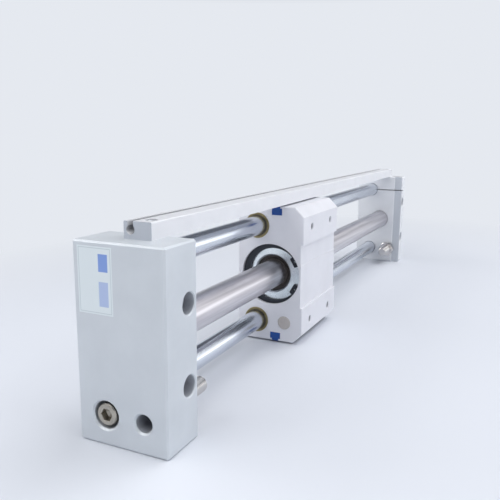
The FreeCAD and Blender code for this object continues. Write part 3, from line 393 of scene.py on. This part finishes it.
# The clamp plate is the same anodised plate as the port plate, painted lighter to stand in for light,
# with brighter painted highlights on its edges.
PAINTED_LIGHT_PLATE = dict(
    PLATE, colour=(0.80, 0.815, 0.84), shade=(0.76, 0.775, 0.80),
    wear_and_highlight=(0.96, 0.965, 0.98), wear_and_highlight_radius=0.5 * MM)
BUSH = dict(
    colour=(0.31, 0.26, 0.135), shade=(0.22, 0.185, 0.10), roughness=0.34, spread=0.08,
    grain=(2600, 900, 900), bump=0.003 * MM, cloud=even(400),
    wear_and_highlight=(0.52, 0.43, 0.24), wear_and_highlight_radius=0.3 * MM)
own_materials = {
    "port_end_plate": make_finish("plate_labelled", **PLATE, overlay=add_label),
    "clamp_end_plate": make_finish("plate_painted_light_and_shade", **PAINTED_LIGHT_PLATE, overlay=add_relief_shade),
}
for level in ("upper", "lower"):
    bush_material = make_finish(f"bush_{level}", **BUSH, overlay=add_bush_inner_ring(f"{level}_port_bush"))
    for end in ("port", "clamp"):
        own_materials[f"{level}_{end}_bush"] = bush_material

slot_of = {entry["node"]: entry["material_slot"] for entry in frame["record"]["subparts"]}
for node_name, node_object in nodes.items():
    node_object.data.materials.clear()
    node_object.data.materials.append(own_materials.get(node_name) or materials[slot_of[node_name]])


# Screws, with the threads and knurls that the plain solids leave out

def add_skin(name, loops, to_model, node_name, body):
    """A closed piece through loops of equal point count, which stands for a node of the model."""
    count = len(loops[0])
    points = [to_model @ point for loop in loops for point in loop]
    faces = []
    for row in range(len(loops) - 1):
        low = row * count
        high = low + count
        for index in range(count):
            following = (index + 1) % count
            faces.append((low + index, low + following, high + following, high + index))
    faces.append(tuple(reversed(range(count))))
    faces.append(tuple(range(len(points) - count, len(points))))
    mesh = bpy.data.meshes.new(name)
    mesh.from_pydata(points, [], faces)
    mesh.validate()
    mesh.update()
    piece = bpy.data.objects.new(name, mesh)
    bpy.context.scene.collection.objects.link(piece)
    mesh.materials.append(materials[slot_of[node_name]])
    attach(piece, body)
    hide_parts(node_name)


def round_loop(x, radius, count):
    """Points round the local X axis; radius is a number or a function of the angle's share of a turn."""
    points = []
    for index in range(count):
        share = index / count
        reach = radius(share) if callable(radius) else radius
        points.append(Vector((x, reach * math.cos(TURN * share), reach * math.sin(TURN * share))))
    return points


def hexagon_loop(x, across_flats, count):
    """Points on a hexagon round the local X axis, at the same angles as a round loop's."""
    sixth = TURN / 6

    def reach(share):
        lean = (TURN * share) % sixth - sixth / 2
        return across_flats / 2 / math.cos(lean)

    return round_loop(x, reach, count)


# Shares of a socket's width across flats
SOCKET_CONE_HEIGHT = 0.22
SOCKET_CONE_TIP = 0.04
SOCKET_FLOOR = 0.96
SOCKET_RIM = 1.18


def socket_loops(across_flats, depth, edge, count):
    """Loops from the middle of a hexagon socket's floor up to its broken rim at x = 0."""
    tip = depth + across_flats * SOCKET_CONE_HEIGHT
    return [
        round_loop(tip, across_flats * SOCKET_CONE_TIP, count),
        hexagon_loop(depth, across_flats * SOCKET_FLOOR, count),
        hexagon_loop(depth - edge, across_flats, count),
        hexagon_loop(edge, across_flats, count),
        round_loop(0.0, across_flats / 2 * SOCKET_RIM, count),
    ]


THREAD_STEPS = 8
CREST_SHARE = 0.14
ROOT_SHARE = 0.18


def thread_depth(phase):
    """Depth below the crest, from nought to one, at a place along one pitch of the thread."""
    flank = (1 - CREST_SHARE - ROOT_SHARE) / 2
    phase %= 1.0
    if phase < CREST_SHARE:
        return 0.0
    if phase < CREST_SHARE + flank:
        return (phase - CREST_SHARE) / flank
    if phase < CREST_SHARE + flank + ROOT_SHARE:
        return 1.0
    return (1.0 - phase) / flank


def thread_loops(start, end, radius, pitch, depth, taper, count):
    """Loops of a right-hand thread along the local X axis, narrowed by taper at both ends."""
    steps = max(2, round((end - start) / pitch * THREAD_STEPS))
    loops = []
    for step in range(steps + 1):
        x = start + (end - start) * step / steps
        limit = radius - max(0.0, taper - (x - start), taper - (end - x))

        def reach(share, x=x, limit=limit):
            return min(limit, radius - depth * thread_depth(x / pitch - share))

        loops.append(round_loop(x, reach, count))
    return loops


def facing(node_name, along):
    """A screw's own frame, with local X inwards from the middle of its socket end, and its length."""
    low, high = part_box(node_name)
    along = Vector(along)
    length = abs((high - low).dot(along))
    start = (low + high) / 2 - along * length / 2
    turn = Vector((1, 0, 0)).rotation_difference(along).to_matrix().to_4x4()
    return Matrix.Translation(start) @ turn, length


STOP_POINTS = 48
STOP_RADIUS = 4.0 * MM
STOP_TAPER = 0.8 * MM
STOP_PITCH = 1.25 * MM
STOP_THREAD_DEPTH = 0.66 * MM
STOP_SOCKET = 4.0 * MM
STOP_SOCKET_DEPTH = 4.4 * MM
STOP_SOCKET_EDGE = 0.25 * MM


def add_stop_screw(node_name, along, body):
    """A screw without a head, threaded from end to end, with a socket in its outer end."""
    to_model, length = facing(node_name, along)
    loops = socket_loops(STOP_SOCKET, STOP_SOCKET_DEPTH, STOP_SOCKET_EDGE, STOP_POINTS)
    loops += thread_loops(
        0.0, length, STOP_RADIUS, STOP_PITCH, STOP_THREAD_DEPTH, STOP_TAPER, STOP_POINTS)
    add_skin(node_name + "_threaded", loops, to_model, node_name, body)


KNURL_COUNT = 36
THREAD_GAP = 0.02 * MM

# Shares of the size that each name ends with
HEAD_EDGE_OF_SHANK = 0.1
NECK_RADIUS_OF_SHANK = 0.53
KNURL_DEPTH_OF_HEAD = 0.018
SOCKET_DEPTH_OF_HEIGHT = 0.55
SOCKET_EDGE_OF_SOCKET = 0.05
THREAD_DEPTH_OF_PITCH = 0.5

# Sizes of cap screws: widths of head, socket and shank, and the thread's pitch
M3 = dict(head=5.5 * MM, socket=2.5 * MM, shank=3.0 * MM, pitch=0.5 * MM)
M4 = dict(head=7.0 * MM, socket=3.0 * MM, shank=4.0 * MM, pitch=0.7 * MM)
M6 = dict(head=10.0 * MM, socket=5.0 * MM, shank=6.0 * MM, pitch=1.0 * MM)


def head_loops(radius, height, edge, groove, neck, count):
    """Loops down a knurled head, from its top at x = 0 to the neck under it."""
    plain = radius - groove

    def knurl(share):
        return radius - groove * (round(share * count) % 2)

    # The broken edges at the top and the foot are drawn in widths of the top one
    return [
        round_loop(0.0, radius - 1.6 * edge, count),
        round_loop(0.25 * edge, radius - 0.8 * edge, count),
        round_loop(edge, plain, count),
        round_loop(1.35 * edge, knurl, count),
        round_loop(height - 0.9 * edge, knurl, count),
        round_loop(height - 0.6 * edge, plain, count),
        round_loop(height, plain - 0.3 * edge, count),
        round_loop(height, neck, count),
    ]


def add_cap_screw(node_name, along, height, head, socket, shank, pitch):
    """A socket cap screw with a knurled head of the given height."""
    to_model, length = facing(node_name, along)
    count = KNURL_COUNT * 2
    socket_depth = SOCKET_DEPTH_OF_HEIGHT * height
    head_edge = HEAD_EDGE_OF_SHANK * shank
    groove = KNURL_DEPTH_OF_HEAD * head
    neck = NECK_RADIUS_OF_SHANK * shank
    depth = THREAD_DEPTH_OF_PITCH * pitch
    loops = socket_loops(socket, socket_depth, SOCKET_EDGE_OF_SOCKET * socket, count)
    loops += head_loops(head / 2, height, head_edge, groove, neck, count)
    loops += thread_loops(height + THREAD_GAP, length, shank / 2, pitch, depth, 0.0, count)
    add_skin(node_name + "_knurled", loops, to_model, node_name, "frame")


TOWARDS_CLAMP = (1, 0, 0)
TOWARDS_PORT = (-1, 0, 0)
DOWNWARDS = (0, 0, -1)

add_stop_screw("port_stop_screw", TOWARDS_CLAMP, "port_stop")
add_stop_screw("clamp_stop_screw", TOWARDS_PORT, "clamp_stop")
add_cap_screw("port_rod_screw", TOWARDS_CLAMP, height=6.0 * MM, **M6)
add_cap_screw("clamp_rod_screw", TOWARDS_PORT, height=4.0 * MM, **M6)
add_cap_screw("rod_clamp_screw", DOWNWARDS, height=4.0 * MM, **M4)
add_cap_screw("port_rail_screw", DOWNWARDS, height=3.0 * MM, **M3)
add_cap_screw("clamp_rail_screw", DOWNWARDS, height=3.0 * MM, **M3)


# Floor, light and camera

PALE = (0.785, 0.815, 0.87)
FLOOR = (0.72, 0.745, 0.795)
FLOOR_SHADE = (0.70, 0.725, 0.775)
FLOOR_CLOUD = even(3)
FLOOR_DETAIL = 2.0
FLOOR_ROUGHNESS = 0.5
FLOOR_SPECULAR = 0.25
FLOOR_HALF = 12.0
FLOOR_GAP = 0.02 * MM

# The floor fades between these distances from the origin, with Y counted more than X
FADE_SCALE = (1.0, 1.5, 1.0)
FADE_START = 0.29
FADE_END = 0.58

# The ceiling comes in between these upward parts of a direction
CEILING_START = 0.195
CEILING_END = 0.28
OVERHEAD = (0.10, 0.108, 0.132)


def add_seen_directly(tree):
    """One for what the camera sees, directly or in gloss or glass, and nought for light that scatters."""
    path = tree.nodes.new("ShaderNodeLightPath")
    total = path.outputs["Is Camera Ray"]
    for name in ("Is Glossy Ray", "Is Transmission Ray"):
        total = add_math(tree, "MAXIMUM", total, path.outputs[name])
    return total


def make_floor_finish():
    """A pale finish that fades into the background away from the object."""
    material = bpy.data.materials.new("floor_pale")
    material.use_nodes = True
    tree = material.node_tree
    shader = tree.nodes["Principled BSDF"]
    shader.inputs["Roughness"].default_value = FLOOR_ROUGHNESS
    shader.inputs["Specular IOR Level"].default_value = FLOOR_SPECULAR
    place = tree.nodes.new("ShaderNodeTexCoord").outputs["Object"]
    cloud = add_noise(tree, place, FLOOR_CLOUD, FLOOR_DETAIL)
    tint = add_mix(tree, add_range(tree, cloud, 0.0, 1.0), FLOOR, FLOOR_SHADE)
    link(tree, tint, shader.inputs["Base Color"])
    away = add_distance(tree, place, FADE_SCALE)
    fade = add_range(tree, away, 0.0, 1.0, FADE_START, FADE_END)
    glow = tree.nodes.new("ShaderNodeEmission")
    glow.inputs["Color"].default_value = (*PALE, 1.0)
    mix = tree.nodes.new("ShaderNodeMixShader")
    link(tree, add_product(tree, fade, add_seen_directly(tree)), mix.inputs["Fac"])
    link(tree, shader.outputs["BSDF"], mix.inputs[1])
    link(tree, glow.outputs["Emission"], mix.inputs[2])
    link(tree, mix.outputs["Shader"], tree.nodes["Material Output"].inputs["Surface"])
    return material


def make_floor():
    """A wide floor just under the object, which keeps its shadow."""
    corners = [
        (-FLOOR_HALF, -FLOOR_HALF, 0), (FLOOR_HALF, -FLOOR_HALF, 0),
        (FLOOR_HALF, FLOOR_HALF, 0), (-FLOOR_HALF, FLOOR_HALF, 0)]
    mesh = bpy.data.meshes.new("floor")
    mesh.from_pydata(corners, [], [(0, 1, 2, 3)])
    mesh.materials.append(make_floor_finish())
    floor = bpy.data.objects.new("floor", mesh)
    floor.location.z = cad_low.z - FLOOR_GAP
    bpy.context.scene.collection.objects.link(floor)


def make_world():
    """A studio with pale walls under a dark ceiling, which starts above the camera's view."""
    world = bpy.data.worlds.new("studio")
    bpy.context.scene.world = world
    world.use_nodes = True
    tree = world.node_tree
    direction = tree.nodes.new("ShaderNodeTexCoord").outputs["Generated"]
    upward = split_axes(tree, direction)["Z"]
    ceiling = add_range(tree, upward, 0.0, 1.0, CEILING_START, CEILING_END)
    link(tree, add_mix(tree, ceiling, PALE, OVERHEAD), tree.nodes["Background"].inputs["Color"])


NEAR_HALF = (-0.1, 0.0, 0.05)
MIDDLE = (0.0, 0.0, 0.05)
LAMPS = {
    "top": dict(
        position=(0.25, -0.40, 1.10), target=(0.1, 0.0, 0.04), width=1.6, height=1.0, watts=13.2,
        colour=(0.97, 0.98, 1.0)),
    "right": dict(position=(-0.40, -0.85, 0.28), target=NEAR_HALF, width=0.7, height=0.4, watts=1.2),
    "front": dict(position=(-0.65, 0.20, 0.62), target=NEAR_HALF, width=0.5, height=0.4, watts=2.2),
    "left": dict(position=(-0.30, 0.80, 0.65), target=NEAR_HALF, width=0.7, height=0.6, watts=3.3),
    "window": dict(position=(0.74, -0.68, 0.44), target=MIDDLE, width=0.5, height=0.8, watts=1.5),
    "end": dict(
        position=(0.55, -0.12, 0.26), target=(0.12, 0.0, 0.044), width=0.2, height=0.12, watts=0.08),
}


def add_lamp(name, position, target, width, height, watts, colour=(1.0, 1.0, 1.0)):
    lamp = bpy.data.lights.new(name, "AREA")
    lamp.shape = "RECTANGLE"
    lamp.size = width
    lamp.size_y = height
    lamp.energy = watts
    lamp.color = colour
    lamp_object = bpy.data.objects.new(name, lamp)
    lamp_object.location = position
    aim = Vector(target) - Vector(position)
    lamp_object.rotation_euler = aim.to_track_quat("-Z", "Y").to_euler()
    lamp_object.visible_camera = False
    bpy.context.scene.collection.objects.link(lamp_object)


CAMERA_PLACE = (-0.4136, -0.1475, 0.1307)
CAMERA_YAW = math.radians(25.33)
CAMERA_PITCH = math.radians(-10.90)
CAMERA_ROLL = math.radians(0.41)
CAMERA_NEAREST = 0.01
CAMERA_FARTHEST = 60.0

# In millimetres, as Blender takes them
CAMERA_LENS = 43.57
CAMERA_SENSOR = 36.0


def make_camera():
    """The camera that was fitted to the photograph's plate edges, rods and tube."""
    flat = math.cos(CAMERA_PITCH)
    ahead = Vector((math.cos(CAMERA_YAW) * flat, math.sin(CAMERA_YAW) * flat, math.sin(CAMERA_PITCH)))
    level = Vector((math.sin(CAMERA_YAW), -math.cos(CAMERA_YAW), 0.0))
    upright = level.cross(ahead)
    right = math.cos(CAMERA_ROLL) * level + math.sin(CAMERA_ROLL) * upright
    above = -math.sin(CAMERA_ROLL) * level + math.cos(CAMERA_ROLL) * upright
    camera = bpy.data.cameras.new("camera")
    camera.sensor_width = CAMERA_SENSOR
    camera.lens = CAMERA_LENS
    camera.clip_start = CAMERA_NEAREST
    camera.clip_end = CAMERA_FARTHEST
    camera_object = bpy.data.objects.new("camera", camera)
    turn = Matrix((right, above, -ahead)).transposed().to_4x4()
    camera_object.matrix_world = Matrix.Translation(CAMERA_PLACE) @ turn
    bpy.context.scene.collection.objects.link(camera_object)
    bpy.context.scene.camera = camera_object


make_floor()
make_world()
for lamp_name, lamp_values in LAMPS.items():
    add_lamp(lamp_name, **lamp_values)
make_camera()
bpy.context.scene.view_settings.view_transform = "Standard"
